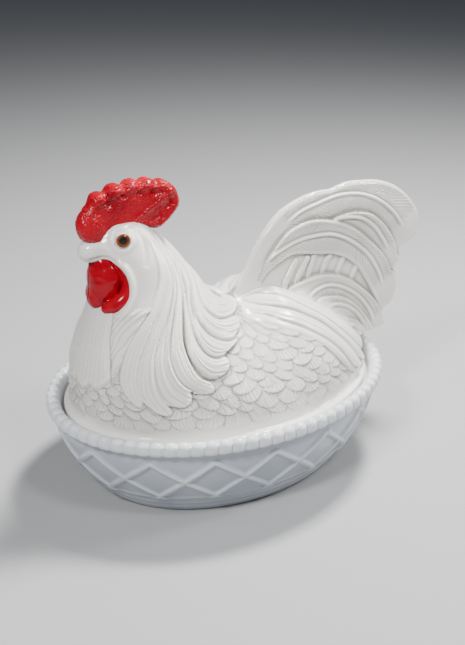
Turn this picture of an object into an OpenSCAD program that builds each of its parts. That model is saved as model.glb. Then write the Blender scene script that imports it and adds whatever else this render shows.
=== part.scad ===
// Covered dish in pressed milk glass: an oval nest with a beaded rim and a raised diamond lattice,
// and a hollow lid in the form of a seated rooster with a red comb and wattles and inset glass eyes.
// Millimetres. The origin is the centre of the flat foot on the standing surface, +Z is up,
// the head looks along -X, the tail points along +X, and the model mirrors across Y = 0.

/* [Dish] */
// Length of the dish over its beaded rim
rim_length = 200; // [180:1:220]
// Width of the dish over its beaded rim
rim_width = 156; // [140:1:172]
// Height of the dish to the top of its beads
rim_height = 55; // [53:0.5:58]
// Length of the flat foot
foot_length = 146; // [130:1:152]
// Width of the flat foot
foot_width = 108; // [96:1:114]
// Thickness of the pressed glass wall
glass_wall = 5.5; // [4.5:0.1:6.5]
// Number of beads round the rim
bead_count = 78; // [60:1:90]
// Number of lattice diamonds round the wall
diamond_count = 16; // [10:1:18]
// Height of a lattice rib above the wall
rib_height = 1; // [0.6:0.1:1.4]

/* [Lid] */
// Clear height between the lid and its ledge in the dish
seat_gap = 0.3; // [0.2:0.1:0.5]
// Half of the tail's thickness at its edge
tail_half = 6; // [5:0.5:8]
// Thickness of the comb over its lobes
comb_thickness = 12; // [8:0.5:13]

/* [Eyes] */
// Diameter of a glass eye
eye_diameter = 7; // [6:0.5:8]
// Diameter of the pupil
pupil_diameter = 3.6; // [3:0.1:4]

/* [Hidden] */

// How far a cut runs past the face that it opens, and the facets round a ball and round an eye.
overlap = 1;
ball_facets = 24;
eye_facets = 48;

milk = [0.95, 0.94, 0.90];
enamel = [0.80, 0.02, 0.04];

// Dish: heights of the wall's parts, and how far each stands in from the rim's outline.
wall_top = 46.5;
wall_top_inset = 5.5;
bead_depth = 0.8;
bead_middle = rim_height - 4;
rim_inner_inset = 7.5;
ledge_z = 46.5;
ledge_outer_inset = 8.7;
ledge_inner_inset = 12.5;
floor_z = 6.5;
dish_points = 2 * bead_count;

// Inside of the dish below its ledge, each [height, distance in from the wall's outside].
inside_profile = [[floor_z, 10], [floor_z + 2, 7], [16, glass_wall + 0.5], [28, glass_wall]];

// Outside of the rim from below its beads to inside them, each [inset, height, depth of the grooves].
rim_profile = [
    [0.8, bead_middle - 2.4, bead_depth],
    [0, bead_middle, bead_depth],
    [1.4, rim_height - 1, bead_depth],
    [3.4, rim_height, bead_depth],
    [rim_inner_inset, rim_height - 2, 0],
];

// Lattice: the heights between which its ribs run, their width and the depth of their roots in the
// wall, the bars in one rib and the height of a bar's end, and the ring below them.
rib_low = 15;
rib_high = 41;
rib_width = 3.4;
rib_root = 1;
rib_steps = 4;
rib_end_height = 0.2;
foot_ring_z = 13.5;
foot_ring_rise = 0.7;

// Heights of the wall's rings below and above the foot ring.
wall_low_rings = [0, 5, foot_ring_z - 1];
wall_high_rings = [foot_ring_z + 1, 24, 36, wall_top];

// Lid: its rounded edge, the skirt below it that keeps it in place, and the points in one ring.
lid_points = 72;
lid_inset = 10;
lid_edge_z = 50.5;
skirt_inset = 14.5;
skirt_z = 41.5;
skirt_wall = 4;
skirt_hollow_top = lid_edge_z + 0.5;
seat_z = ledge_z + seat_gap;

// Rooster's body: an elliptic arch over each X, [x, height of the ridge], standing on an oval.
body_front = 84;
body_back = 87;
body_side = 63.5;
body_ridge = [
    [-82, 57], [-76, 72], [-70, 84], [-55, 92], [-40, 97], [-15, 97], [8, 97], [22, 100], [30, 101],
    [38, 98.5], [46, 94.5], [56, 88.5], [66, 81], [77, 71], [84, 63],
];
arch_points = 28;
arch_base = lid_edge_z - overlap;
lowest_hollow_ridge = lid_edge_z + 15;

// Level rings of the breast, neck and head, each [height, front, back, half width].
neck_rings = [
    [50, -85.5, 8, 50],
    [60, -84.5, 12, 52],
    [70, -84, 12, 51.5],
    [80, -82, 10, 48.5],
    [88, -80, 7, 44.5],
    [96, -77.5, 2, 39],
    [102, -75.5, -3, 35],
    [107, -74, -8, 31.5],
    [112, -73, -12, 28.5],
    [119, -71, -17, 24.5],
    [126, -70, -22.5, 21.5],
    [134, -69, -28.5, 18.5],
    [142, -68, -35, 15],
    [148, -66, -40, 12],
    [153, -62, -45, 6],
];
neck_points = 48;
hollow_top = 118;

// The hollow under the beak that the wattles hang in: its centre and its half sizes.
throat_place = [-77, 0, 124.5];
throat_half = [23, 25, 14.5];

// Beak: balls that it is drawn over, each [x, y, z, radius].
beak_balls = [[-74.5, 0, 140.5, 4.3], [-62, 0, 142, 9.5], [-69, 0, 139, 6]];

// Tail: corners of three stacked outlines in the X-Z plane, each from the front of its root round the
// top: the whole scalloped fan, the sickle feathers that lie over it, and the short ones over those.
tail_fan = [
    [8, 92], [18, 114], [34, 138], [56, 149.5], [82, 152.5], [108, 150], [130, 137], [138.5, 119],
    [129, 105.5], [127, 98], [121, 92], [125, 80], [121, 70], [114, 65], [112, 59], [102, 56.5],
    [84, 58], [40, 70],
];
tail_sickles = [
    [30, 84], [40, 98], [54, 103], [70, 102], [84, 95], [96, 84], [107, 71], [109, 62], [100, 58.5],
    [84, 58], [50, 66],
];
tail_coverts = [
    [42, 80], [52, 88], [64, 90], [78, 86], [90, 76], [99, 64], [96, 58.5], [80, 58], [56, 62],
];
tail_layers = [[tail_fan, 1], [tail_sickles, 1.7], [tail_coverts, 2.5]];
tail_steps = 4;

// Comb: the thickness and corners of its plate, and its lobes and front end, each [x, z, radius].
comb_plate = comb_thickness - 3;
comb_outline = [
    [-76.5, 149], [-77.5, 157], [-74.5, 163], [-65.5, 168], [-47.5, 171], [-31.5, 169], [-23.5, 163],
    [-22.5, 156], [-26.5, 151.5], [-35.5, 148.5], [-42.5, 151], [-55.5, 150], [-63.5, 146], [-71.5, 145.5],
];
comb_lobes = [[-65.5, 166, 6], [-57.5, 168.5, 6], [-48, 169, 6], [-40, 169, 6], [-31, 164.5, 8]];
comb_front = [-70, 152.5, 8];

// Wattle: balls that each lobe of the left one is drawn over, each [x, y, z, radius].
wattle_lobe = [
    [-65.5, -0.8, 133, 6.5], [-64.3, -0.8, 127, 9.2], [-67.5, -0.8, 119.5, 7.6], [-71.5, -0.8, 113, 4.6],
];
wattle_fold = [
    [-60, -9, 134, 2], [-58.5, -13.6, 124, 3.6], [-61, -12.4, 115, 4.2], [-66.5, -8.5, 111.2, 3.8],
];

// Half the gap between the two wattles, and the block that trims the left one to it.
wattle_gap = 0.1;
wattle_trim_place = [-100, -wattle_gap, 100];
wattle_trim_size = [60, 20, 60];

// Eye: the centre of the left one's opening in the head, and how its axis is turned from -Y.
eye_place = [-59, -12.8, 147];
eye_turn = [-4, -12, 0];

// The depths of an eye's layers, out along its axis from the bottom of the socket, and its radii.
eye_radius = eye_diameter / 2;
socket_radius = eye_radius + 0.5;
socket_depth = 4.2;
socket_lip = 1;
socket_cut = socket_depth + 4;
cement_gap = 0.1;
cement_depth = 2.2;
iris_depth = 0.8;
dome_height = 2.4;

// Half length and half width of the dish's outside at height z, below the beads.
function wall_swell(z) = sin(90 * z / wall_top);
function wall_a(z) =
    foot_length / 2 + (rim_length / 2 - wall_top_inset - foot_length / 2) * wall_swell(z);
function wall_b(z) =
    foot_width / 2 + (rim_width / 2 - wall_top_inset - foot_width / 2) * wall_swell(z);

// One level ring of an ellipse, with every second point drawn in by ripple.
function ellipse_ring(a, b, z, count, ripple = 0, x_centre = 0) = [
    for (i = [0 : count - 1])
        let (angle = 360 * i / count, depth = i % 2 * ripple)
        [x_centre + (a - depth) * cos(angle), (b - depth) * sin(angle), z]
];

// A ring that stands in from the rim's outline by inset.
function rim_ring(inset, z, count, ripple = 0) =
    ellipse_ring(rim_length / 2 - inset, rim_width / 2 - inset, z, count, ripple);

// A ring on the dish's wall, moved out by out.
function wall_ring(z, out) =
    ellipse_ring(wall_a(z) + out, wall_b(z) + out, max(z, 0), dish_points);

// A level ring of the neck, drawn in by inset.
function neck_ring(row, inset = 0) =
    ellipse_ring(
        (row[2] - row[1]) / 2 - inset,
        row[3] - inset,
        row[0] - inset / 2,
        neck_points,
        x_centre = (row[1] + row[2]) / 2
    );

// An upright half oval across the body at a place on its ridge, drawn in by inset.
function body_arch(place, inset = 0) =
    let (
        x = place[0],
        half_length = x < 0 ? body_front : body_back,
        half_width = body_side * sqrt(1 - pow(x / half_length, 2)) - inset,
        rise = place[1] - inset - arch_base
    )
    [
        for (i = [0 : arch_points - 1])
            let (angle = 180 * i / (arch_points - 1))
            [x, half_width * cos(angle), arch_base + rise * sin(angle)]
    ];

// A closed solid through a stack of rings that all have the same number of points.
module loft(rings) {
    count = len(rings[0]);
    last = len(rings) - 1;
    points = [for (ring = rings) each ring];
    sides = [
        for (k = [0 : last - 1], i = [0 : count - 1])
            let (j = (i + 1) % count, low = k * count, high = low + count)
            each [[low + i, high + i, high + j], [low + i, high + j, low + j]]
    ];
    bottom = [for (i = [0 : count - 1]) i];
    top = [for (i = [count - 1 : -1 : 0]) last * count + i];
    polyhedron(points = points, faces = concat([bottom, top], sides));
}

// A closed curve through corners, with steps points for each of them.
function curve_point(a, b, c, d, t) =
    (2 * b + (c - a) * t + (2 * a - 5 * b + 4 * c - d) * t * t + (3 * b - a - 3 * c + d) * t * t * t) / 2;
function smooth_loop(corners, steps) =
    let (n = len(corners))
    [
        for (i = [0 : n - 1], s = [0 : steps - 1])
            curve_point(
                corners[(i + n - 1) % n],
                corners[i],
                corners[(i + 1) % n],
                corners[(i + 2) % n],
                s / steps
            )
    ];

// A plate of an outline in the X-Z plane, centred on Y = 0.
module upright_plate(outline, thickness) {
    rotate([90, 0, 0])
        linear_extrude(thickness, center = true)
            polygon(outline);
}

// The outside of the dish, up its wall and over its beads.
module dish_outside() {
    loft(concat(
        [for (z = wall_low_rings) wall_ring(z, 0)],
        [wall_ring(foot_ring_z, foot_ring_rise)],
        [for (z = wall_high_rings) wall_ring(z, 0)],
        [for (row = rim_profile) rim_ring(row[0], row[1], dish_points, row[2])]
    ));
}

// The space inside the dish, from its floor up past the ledge that the lid rests on.
module dish_inside() {
    loft(concat(
        [for (row = inside_profile) wall_ring(row[0], -row[1])],
        [
            rim_ring(ledge_inner_inset, ledge_z - 6, dish_points),
            rim_ring(ledge_inner_inset, ledge_z, dish_points),
            rim_ring(ledge_outer_inset, ledge_z, dish_points),
            rim_ring(rim_inner_inset, rim_height - 2, dish_points),
            rim_ring(rim_inner_inset - 0.2, rim_height + overlap, dish_points),
        ]
    ));
}

// A point on the dish's wall at a height and an angle round it, moved out by out.
function wall_point(z, angle, out) =
    [(wall_a(z) + out) * cos(angle), (wall_b(z) + out) * sin(angle), z];

// One lattice rib, from an upper peak down to a lower one, as a chain of short bars.
module lattice_rib(top_angle, bottom_angle) {
    half_turn = rib_width / 2 / wall_a(rib_high) * 180 / PI;
    module station(s) {
        z = rib_high + (rib_low - rib_high) * s;
        angle = top_angle + (bottom_angle - top_angle) * s;
        polyhedron(
            points = [
                wall_point(z, angle - half_turn, -rib_root),
                wall_point(z, angle + half_turn, -rib_root),
                wall_point(z, angle + half_turn / 2, rib_height),
                wall_point(z, angle - half_turn / 2, rib_height),
                wall_point(z + rib_end_height, angle, 0),
            ],
            faces = [[0, 1, 2, 3], [0, 4, 1], [1, 4, 2], [2, 4, 3], [3, 4, 0]]
        );
    }
    for (k = [0 : rib_steps - 1])
        hull() {
            station(k / rib_steps);
            station((k + 1) / rib_steps);
        }
}

module nest_dish() {
    pitch = 360 / diamond_count;
    color(milk)
        difference() {
            union() {
                dish_outside();
                for (i = [0 : diamond_count - 1], side = [-1, 1])
                    lattice_rib(i * pitch, (i + side) * pitch);
            }
            dish_inside();
        }
}

// The rooster's glass from the skirt to the crown, without the tail.
module rooster_outside() {
    loft([
        rim_ring(skirt_inset, skirt_z, lid_points),
        rim_ring(skirt_inset, seat_z, lid_points),
        rim_ring(lid_inset, seat_z, lid_points),
        rim_ring(lid_inset, lid_edge_z, lid_points),
    ]);
    loft([for (place = body_ridge) body_arch(place)]);
    loft([for (row = neck_rings) neck_ring(row)]);
}

// The hollow under the rooster.
module rooster_inside() {
    loft([
        rim_ring(skirt_inset + skirt_wall, skirt_z - overlap, lid_points),
        rim_ring(skirt_inset + skirt_wall, skirt_hollow_top, lid_points),
    ]);
    loft([for (place = body_ridge) if (place[1] > lowest_hollow_ridge) body_arch(place, glass_wall)]);
    difference() {
        loft([for (row = neck_rings) if (row[0] < hollow_top) neck_ring(row, glass_wall)]);
        throat(glass_wall);
    }
}

// The space under the beak, made larger by grow.
module throat(grow) {
    translate(throat_place)
        scale(throat_half + [grow, grow, grow])
            sphere(1, $fn = ball_facets);
}

// The flat fan of the tail, thicker where more feathers lie over each other.
module tail() {
    for (layer = tail_layers)
        upright_plate(smooth_loop(layer[0], tail_steps), 2 * tail_half * layer[1]);
}

// A smooth lobe drawn over a few balls.
module ball_chain(balls) {
    hull()
        for (ball = balls)
            translate([ball[0], ball[1], ball[2]]) sphere(ball[3], $fn = ball_facets);
}

module rooster_lid() {
    color(milk)
        difference() {
            union() {
                difference() {
                    rooster_outside();
                    throat(0);
                }
                tail();
                ball_chain(beak_balls);
            }
            rooster_inside();
            for (side = [0, 1])
                mirror([0, side, 0]) eye_layer(0, socket_radius, socket_cut);
        }
}

module comb() {
    color(enamel) {
        upright_plate(comb_outline, comb_plate);
        for (lobe = concat(comb_lobes, [comb_front]))
            translate([lobe[0], 0, lobe[1]])
                scale([lobe[2], comb_thickness / 2, lobe[2]])
                    sphere(1, $fn = ball_facets);
    }
}

module wattle(side) {
    color(enamel)
        mirror([0, side, 0])
            difference() {
                for (balls = [wattle_lobe, wattle_fold])
                    ball_chain(balls);
                translate(wattle_trim_place) cube(wattle_trim_size);
            }
}

// Puts its children on the left eye's axis, with Z pointing out of the head from the socket's floor.
module on_eye_axis() {
    translate(eye_place)
        rotate([90, 0, 0])
            rotate(eye_turn)
                translate([0, 0, socket_lip - socket_depth])
                    children();
}

// A disc on the left eye's axis.
module eye_layer(from, radius, depth) {
    on_eye_axis() translate([0, 0, from]) cylinder(r = radius, h = depth, $fn = eye_facets);
}

module eye_cement(side) {
    color("ivory")
        mirror([0, side, 0]) eye_layer(0, socket_radius - cement_gap, cement_depth);
}

module eye_pupil(side) {
    color("black")
        mirror([0, side, 0]) eye_layer(cement_depth, pupil_diameter / 2, iris_depth);
}

module eye_iris(side) {
    color("sienna")
        mirror([0, side, 0])
            difference() {
                eye_layer(cement_depth, eye_radius, iris_depth);
                eye_layer(cement_depth - overlap, pupil_diameter / 2, iris_depth + 2 * overlap);
            }
}

// The clear dome over the iris: a cap of a ball that meets the iris in a circle of the eye's diameter.
module eye_glass(side) {
    ball = (eye_radius * eye_radius + dome_height * dome_height) / (2 * dome_height);
    base = cement_depth + iris_depth;
    color("lightblue", 0.5)
        mirror([0, side, 0])
            intersection() {
                eye_layer(base, eye_radius + overlap, dome_height + overlap);
                on_eye_axis() translate([0, 0, base + dome_height - ball]) sphere(ball);
            }
}

nest_dish();
rooster_lid();
comb();
wattle(0);  // wattle_left
wattle(1);  // wattle_right
eye_glass(0);  // eye_left_glass
eye_iris(0);  // eye_left_iris
eye_pupil(0);  // eye_left_pupil
eye_cement(0);  // eye_left_cement
eye_glass(1);  // eye_right_glass
eye_iris(1);  // eye_right_iris
eye_pupil(1);  // eye_right_pupil
eye_cement(1);  // eye_right_cement
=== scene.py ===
"""Rooster-on-nest covered dish in milk glass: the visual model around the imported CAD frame.

The lid, comb and wattles are carved as distance fields on a grid, meshed, and then given their feathers,
barbs and pebbling by moving the mesh's points. The dish is one fine grid wrapped round its profile.
Lengths in the carving code are in millimetres, in the frame's own axes; meshes are made in metres.
"""

import math

import bmesh
import bpy
import mathutils
import mathutils.bvhtree
import mathutils.kdtree
import numpy as np
import openvdb
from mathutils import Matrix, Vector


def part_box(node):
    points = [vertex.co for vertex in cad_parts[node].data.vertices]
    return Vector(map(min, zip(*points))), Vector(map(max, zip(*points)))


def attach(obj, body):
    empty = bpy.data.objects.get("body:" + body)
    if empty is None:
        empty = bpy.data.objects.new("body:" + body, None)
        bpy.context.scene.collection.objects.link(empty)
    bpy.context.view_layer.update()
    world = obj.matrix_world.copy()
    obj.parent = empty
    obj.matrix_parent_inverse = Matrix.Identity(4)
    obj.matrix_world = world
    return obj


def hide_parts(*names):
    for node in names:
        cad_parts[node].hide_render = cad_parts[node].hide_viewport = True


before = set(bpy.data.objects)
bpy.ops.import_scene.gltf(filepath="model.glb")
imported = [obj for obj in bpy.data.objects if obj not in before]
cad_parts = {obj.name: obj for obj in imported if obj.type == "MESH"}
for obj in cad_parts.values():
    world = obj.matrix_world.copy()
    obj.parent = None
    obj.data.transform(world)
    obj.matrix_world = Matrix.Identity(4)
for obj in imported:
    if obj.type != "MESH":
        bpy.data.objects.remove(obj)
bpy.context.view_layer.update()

MM = 0.001

# ---------------------------------------------------------------- the frame's sizes, in millimetres

# Half the length and half the width of the dish over its beads, and of its foot.
RIM_A, RIM_B = (np.array(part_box("nest_dish")[1]) / MM)[:2]
FOOT_A, FOOT_B = 73.0, 54.0
BEADS, DIAMONDS = 78, 16

# Steps of the grids that the lid and the red pieces are carved on.
LID_STEP, ENAMEL_STEP = 1.12, 0.6

# ---------------------------------------------------------------- small tools


def smooth_curve(knots, values, at):
    """A smooth curve through values at knots, read at each of at."""
    knots = np.asarray(knots, float)
    values = np.asarray(values, float)
    slopes = np.gradient(values, knots)
    at = np.clip(at, knots[0], knots[-1])
    i = np.clip(np.searchsorted(knots, at, side="right") - 1, 0, len(knots) - 2)
    width = knots[i + 1] - knots[i]
    t = (at - knots[i]) / width
    return (
        values[i] * (1 + 2 * t) * (1 - t) ** 2
        + values[i + 1] * t * t * (3 - 2 * t)
        + width * (slopes[i] * t * (1 - t) ** 2 - slopes[i + 1] * t * t * (1 - t))
    )


def smooth_line(corners, steps=10, closed=False):
    """Points along a smooth curve through corners."""
    corners = np.asarray(corners, float)
    n = len(corners)
    if closed:
        padded = np.vstack([corners[-1:], corners, corners[:2]])
        spans = n
    else:
        padded = np.vstack([2 * corners[0] - corners[1], corners, 2 * corners[-1] - corners[-2]])
        spans = n - 1
    out = []
    for k in range(spans):
        a, b, c, d = padded[k : k + 4]
        for t in np.arange(steps) / steps:
            out.append(
                0.5 * (2 * b + (c - a) * t + (2 * a - 5 * b + 4 * c - d) * t * t
                       + (3 * b - a - 3 * c + d) * t ** 3)
            )
    if not closed:
        out.append(corners[-1])
    return np.array(out)


def smooth_step(low, high, at):
    """0 below low, 1 above high, and an even rise between them."""
    t = np.clip((at - low) / (high - low), 0.0, 1.0)
    return t * t * (3 - 2 * t)


def smooth_union(a, b, blend):
    """The union of two distance fields with a fillet of about blend."""
    h = np.clip(0.5 + 0.5 * (b - a) / blend, 0.0, 1.0)
    return b + (a - b) * h - blend * h * (1 - h)


def smooth_cut(a, b, blend):
    """Field a with field b cut out of it, with a rounded edge."""
    return -smooth_union(-a, b, blend)


def outline_distance(outline, x, z):
    """How far inside a closed outline each point is: positive inside, negative outside."""
    x, z = np.broadcast_arrays(x, z)
    nearest = np.full(x.shape, 1e9)
    inside = np.zeros(x.shape, bool)
    ends = np.roll(outline, -1, axis=0)
    for (ax, az), (bx, bz) in zip(outline, ends):
        dx, dz = bx - ax, bz - az
        t = np.clip(((x - ax) * dx + (z - az) * dz) / (dx * dx + dz * dz + 1e-12), 0, 1)
        nearest = np.minimum(nearest, (x - ax - t * dx) ** 2 + (z - az - t * dz) ** 2)
        if az != bz:
            crosses = (az > z) != (bz > z)
            inside ^= crosses & (x < ax + (z - az) * dx / dz)
    return np.where(inside, 1.0, -1.0) * np.sqrt(nearest)


def make_object(name, points_mm, faces):
    """A mesh object from points in millimetres and an array of faces."""
    points_mm, faces = np.asarray(points_mm, float), np.asarray(faces, np.int32)
    sides = faces.shape[1]
    mesh = bpy.data.meshes.new(name)
    mesh.vertices.add(len(points_mm))
    mesh.vertices.foreach_set("co", (points_mm * MM).astype(np.float32).ravel())
    mesh.loops.add(faces.size)
    mesh.loops.foreach_set("vertex_index", faces.ravel())
    mesh.polygons.add(len(faces))
    mesh.polygons.foreach_set("loop_start", np.arange(0, faces.size, sides, dtype=np.int32))
    mesh.update(calc_edges=True)
    mesh.shade_smooth()
    obj = bpy.data.objects.new(name, mesh)
    bpy.context.scene.collection.objects.link(obj)
    return obj


def read_points(mesh):
    """The mesh's points, in millimetres."""
    flat = np.empty(len(mesh.vertices) * 3, np.float32)
    mesh.vertices.foreach_get("co", flat)
    return flat.reshape(-1, 3).astype(float) / MM


def write_points(mesh, points_mm):
    """Moves the mesh's points to the given places, in millimetres."""
    mesh.vertices.foreach_set("co", (points_mm * MM).astype(np.float32).ravel())
    mesh.update()


def read_normals(mesh):
    """The mesh's point normals."""
    flat = np.empty(len(mesh.vertices) * 3, np.float32)
    mesh.vertex_normals.foreach_get("vector", flat)
    return flat.reshape(-1, 3).astype(float)


def add_attribute(mesh, name, values):
    """Stores one number for each point of the mesh, for its material to read."""
    layer = mesh.attributes.new(name, "FLOAT", "POINT")
    layer.data.foreach_set("value", np.asarray(values, np.float32))


def spread_over(mesh, values, rounds):
    """The values averaged with their neighbours' over the mesh, so many times."""
    edges = np.empty(len(mesh.edges) * 2, np.int32)
    mesh.edges.foreach_get("vertices", edges)
    first, second = edges.reshape(-1, 2).T
    count = len(values)
    neighbours = np.bincount(first, minlength=count) + np.bincount(second, minlength=count)
    for _ in range(rounds):
        total = np.bincount(first, values[second], count) + np.bincount(second, values[first], count)
        values = 0.5 * values + 0.5 * total / np.maximum(neighbours, 1)
    return values


def subdivide(obj, levels):
    """Applies a subdivision surface."""
    modifier = obj.modifiers.new("subdivide", "SUBSURF")
    modifier.levels = levels
    modifier.render_levels = levels
    bpy.context.view_layer.objects.active = obj
    bpy.ops.object.modifier_apply(modifier=modifier.name)


class Grid:
    """A box of sample points that mirrors across Y = 0. Only the half with Y above 0 is worked out.

    A piece of one side only needs a few rows beyond Y = 0 to close: first_row is then below 0.
    """

    def __init__(self, low, high, step, first_row=0):
        self.low, self.step, self.first_row = np.array(low, float), step, first_row
        nx = int(math.ceil((high[0] - low[0]) / step))
        ny = int(math.ceil(high[1] / step)) - first_row
        nz = int(math.ceil((high[2] - low[2]) / step))
        self.x = (low[0] + step * np.arange(nx))[:, None, None].astype(np.float32)
        self.y = (step * (np.arange(ny) + first_row + 0.5))[None, :, None].astype(np.float32)
        self.z = (low[2] + step * np.arange(nz))[None, None, :].astype(np.float32)
        self.shape = (nx, ny, nz)

    def true_distance(self, field):
        """Rescales a field that is only zero on its surface, so that it reads as a distance near it."""
        gx, gy, gz = np.gradient(np.broadcast_to(field, self.shape), self.step)
        slope = np.sqrt(gx * gx + gy * gy + gz * gz)
        return field / np.maximum(slope, 0.25)

    def sample(self, field, points):
        """The field read at each point, with the half below Y = 0 folded onto the other."""
        field = np.broadcast_to(field, self.shape)
        place = points.copy()
        place[:, 1] = np.abs(place[:, 1])
        origin = [self.low[0], self.step / 2, self.low[2]]
        cell = np.clip((place - origin) / self.step, 0, np.array(self.shape) - 1.001)
        base = cell.astype(int)
        part = cell - base
        total = 0
        for corner in np.ndindex(2, 2, 2):
            weight = np.prod(np.where(corner, part, 1 - part), axis=1)
            total = total + weight * field[tuple((base + corner).T)]
        return total

    def mesh(self, name, field, side=None):
        """The surface where the field is zero, as an object: both halves, or only the given side."""
        field = np.broadcast_to(field, self.shape).astype(np.float32)
        whole = field if side else np.concatenate([field[:, ::-1], field], axis=1)
        vdb = openvdb.FloatGrid()
        vdb.copyFromArray(np.ascontiguousarray(whole))
        points, quads = vdb.convertToQuads(isovalue=0.0)
        start = self.step * (0.5 + (self.first_row if side else -self.shape[1]))
        points = points * self.step + [self.low[0], start, self.low[2]]
        if side == -1:
            points = points * [1, -1, 1]
            quads = quads[:, ::-1]
        return make_object(name, points, quads)


# ---------------------------------------------------------------- the rooster's base form

# The lid's border and the skirt below it: heights, and how far each stands in from the rim.
BORDER_LOW, BORDER_TOP, BORDER_INSET = 46.8, 50.6, 10.0
SKIRT_LOW, SKIRT_TOP, SKIRT_INSET, MOUTH_INSET = 41.5, 52.0, 14.5, 18.5
BODY_FRONT, BODY_BACK, BODY_SIDE = 84.0, 87.0, 63.5
NECK_HOLLOW_TOP = 118.0
GLASS_WALL = 5.5

# Height of the body's ridge along X, from the breast to the rear.
RIDGE = np.array([
    [-90, 52], [-82, 56], [-70, 84], [-40, 98], [0, 97], [12, 97], [22, 100], [30, 101],
    [38, 98.5], [46, 94.5], [56, 88.5], [66, 81], [77, 71], [88, 60], [100, 50], [140, 25],
])

# Level rings of the neck and head: height, front, back and half width.
NECK_RINGS = np.array([
    [50, -85.5, 8, 50], [60, -84.5, 12, 52], [70, -84, 12, 51.5], [80, -82, 10, 48.5],
    [88, -80, 7, 44.5], [96, -77.5, 2, 39], [102, -75.5, -3, 35], [107, -74, -8, 31.5],
    [112, -73, -12, 28.5], [119, -71, -17, 24.5], [126, -70, -22.5, 21.5], [134, -69, -28.5, 18.5],
    [142, -68, -35, 15], [148, -66, -40, 12], [153, -62, -45, 6],
])

# Corners of the tail fan's outline in the X-Z plane, from the front of its root round the top.
TAIL_OUTLINE = [
    (8, 92), (17, 112), (22, 122), (29, 132), (38, 141), (48, 146), (59, 149), (69.5, 149.6),
    (72, 149.2), (83, 151.7), (95, 151.2), (108, 149), (120, 143.5), (129.5, 135.5), (136, 126.5),
    (137.6, 118), (135.5, 110.5), (128.5, 106.5), (124.8, 105), (125, 98), (120.8, 92), (123.2, 85),
    (122.8, 77), (119.5, 70), (113.5, 66.5), (114.5, 61), (110, 56.8), (98, 56.8), (84, 58), (40, 70),
]

# The tail stays TAIL_TRIM inside its outline. It is TAIL_HALF thick each way, and thinner near its edge.
TAIL_TRIM, TAIL_HALF, TAIL_THINNING, TAIL_EDGE_ROUND = 0.2, 5.2, 2.4, 2.4


def ellipse_distance(grid, centre, half_length, half_width):
    """About how far each point is outside an upright tube of level ellipses."""
    along = (grid.x - centre) / half_length
    across = grid.y / half_width
    q = np.sqrt(along ** 2 + across ** 2)
    slope = np.sqrt((along / half_length) ** 2 + (across / half_width) ** 2)
    return q * (q - 1) / np.maximum(slope, 1e-4)


def rim_tube(grid, inset):
    """An upright oval that stands in from the rim's outline."""
    return ellipse_distance(grid, 0.0, RIM_A - inset, RIM_B - inset)


def body_field(grid, inset=0.0):
    """The seated body: an elliptic arch over each X, standing on an oval."""
    ridge = smooth_curve(RIDGE[:, 0], RIDGE[:, 1], grid.x) - inset
    top = ridge - BORDER_TOP
    length = np.where(grid.x < 0, BODY_FRONT, BODY_BACK) - inset
    along, across = (grid.x / length) ** 2, (grid.y / (BODY_SIDE - inset)) ** 2
    up = ((grid.z - BORDER_TOP) / np.maximum(top, 1)) ** 2 * np.maximum(1 - along, 0)
    arch = grid.true_distance(40 * (np.sqrt(up + along + across) - 1))
    return np.maximum(arch, 0.7 * (grid.z - ridge))


def neck_field(grid, inset=0.0, top=None):
    """The breast, neck and head as one stack of level ovals."""
    height, front, back, width = NECK_RINGS.T
    level = grid.z + inset / 2
    front, back, width = (smooth_curve(height, v, level) for v in (front, back, width))
    field = ellipse_distance(grid, (front + back) / 2, (back - front) / 2 - inset,
                             np.maximum(width - inset, 1.0))
    top = height[-1] if top is None else top
    return grid.true_distance(np.maximum(field, grid.z - top))


def level_slab(grid, low, high):
    """The space between two heights."""
    return np.maximum(low - grid.z, grid.z - high)


def tail_thickness(x, z):
    """Half of the tail's thickness away from its edges: it flares where it rises from the body."""
    above = np.maximum(z - smooth_curve(RIDGE[:, 0], RIDGE[:, 1], x), 0)
    return TAIL_HALF + 10 * np.exp(-above / 12) * smooth_step(20, 55, x)


def tail_field(grid):
    """The tail fan with rounded edges."""
    outline = smooth_line(TAIL_OUTLINE, 4, closed=True)
    inside = outline_distance(outline, grid.x[:, :, 0], grid.z[:, 0, :])[:, None, :] - TAIL_TRIM
    half = tail_thickness(grid.x, grid.z) - TAIL_THINNING * smooth_step(15, 0, inside)
    edge = np.clip(1 - inside / TAIL_EDGE_ROUND, 0, 1)
    rounded = half * np.sqrt(np.maximum(1 - edge * edge, 0.0))
    return np.maximum(grid.true_distance(grid.y - rounded), -inside)


def ball_field(grid, centre, radii):
    """A stretched ball."""
    p = [(g - c) / r for g, c, r in zip((grid.x, grid.y, grid.z), centre, radii)]
    q = np.sqrt(p[0] ** 2 + p[1] ** 2 + p[2] ** 2)
    slope = np.sqrt(sum((v / r) ** 2 for v, r in zip(p, radii)))
    return q * (q - 1) / np.maximum(slope, 1e-4)


def capsule_field(grid, start, end, radius_start, radius_end):
    """A rounded bar between two points, with its own radius at each end."""
    start, end = np.array(start, float), np.array(end, float)
    axis = end - start
    offset = [g - c for g, c in zip((grid.x, grid.y, grid.z), start)]
    t = np.clip(sum(o * a for o, a in zip(offset, axis)) / (axis @ axis), 0, 1)
    gap = np.sqrt(sum((o - a * t) ** 2 for o, a in zip(offset, axis)))
    return gap - (radius_start + (radius_end - radius_start) * t)


def chain_field(grid, links, blend):
    """Rounded bars joined end to end. Each link is x, y, z and radius."""
    field = None
    for (x0, y0, z0, r0), (x1, y1, z1, r1) in zip(links, links[1:]):
        bar = capsule_field(grid, (x0, y0, z0), (x1, y1, z1), r0, r1)
        field = bar if field is None else smooth_union(field, bar, blend)
    return field


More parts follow.
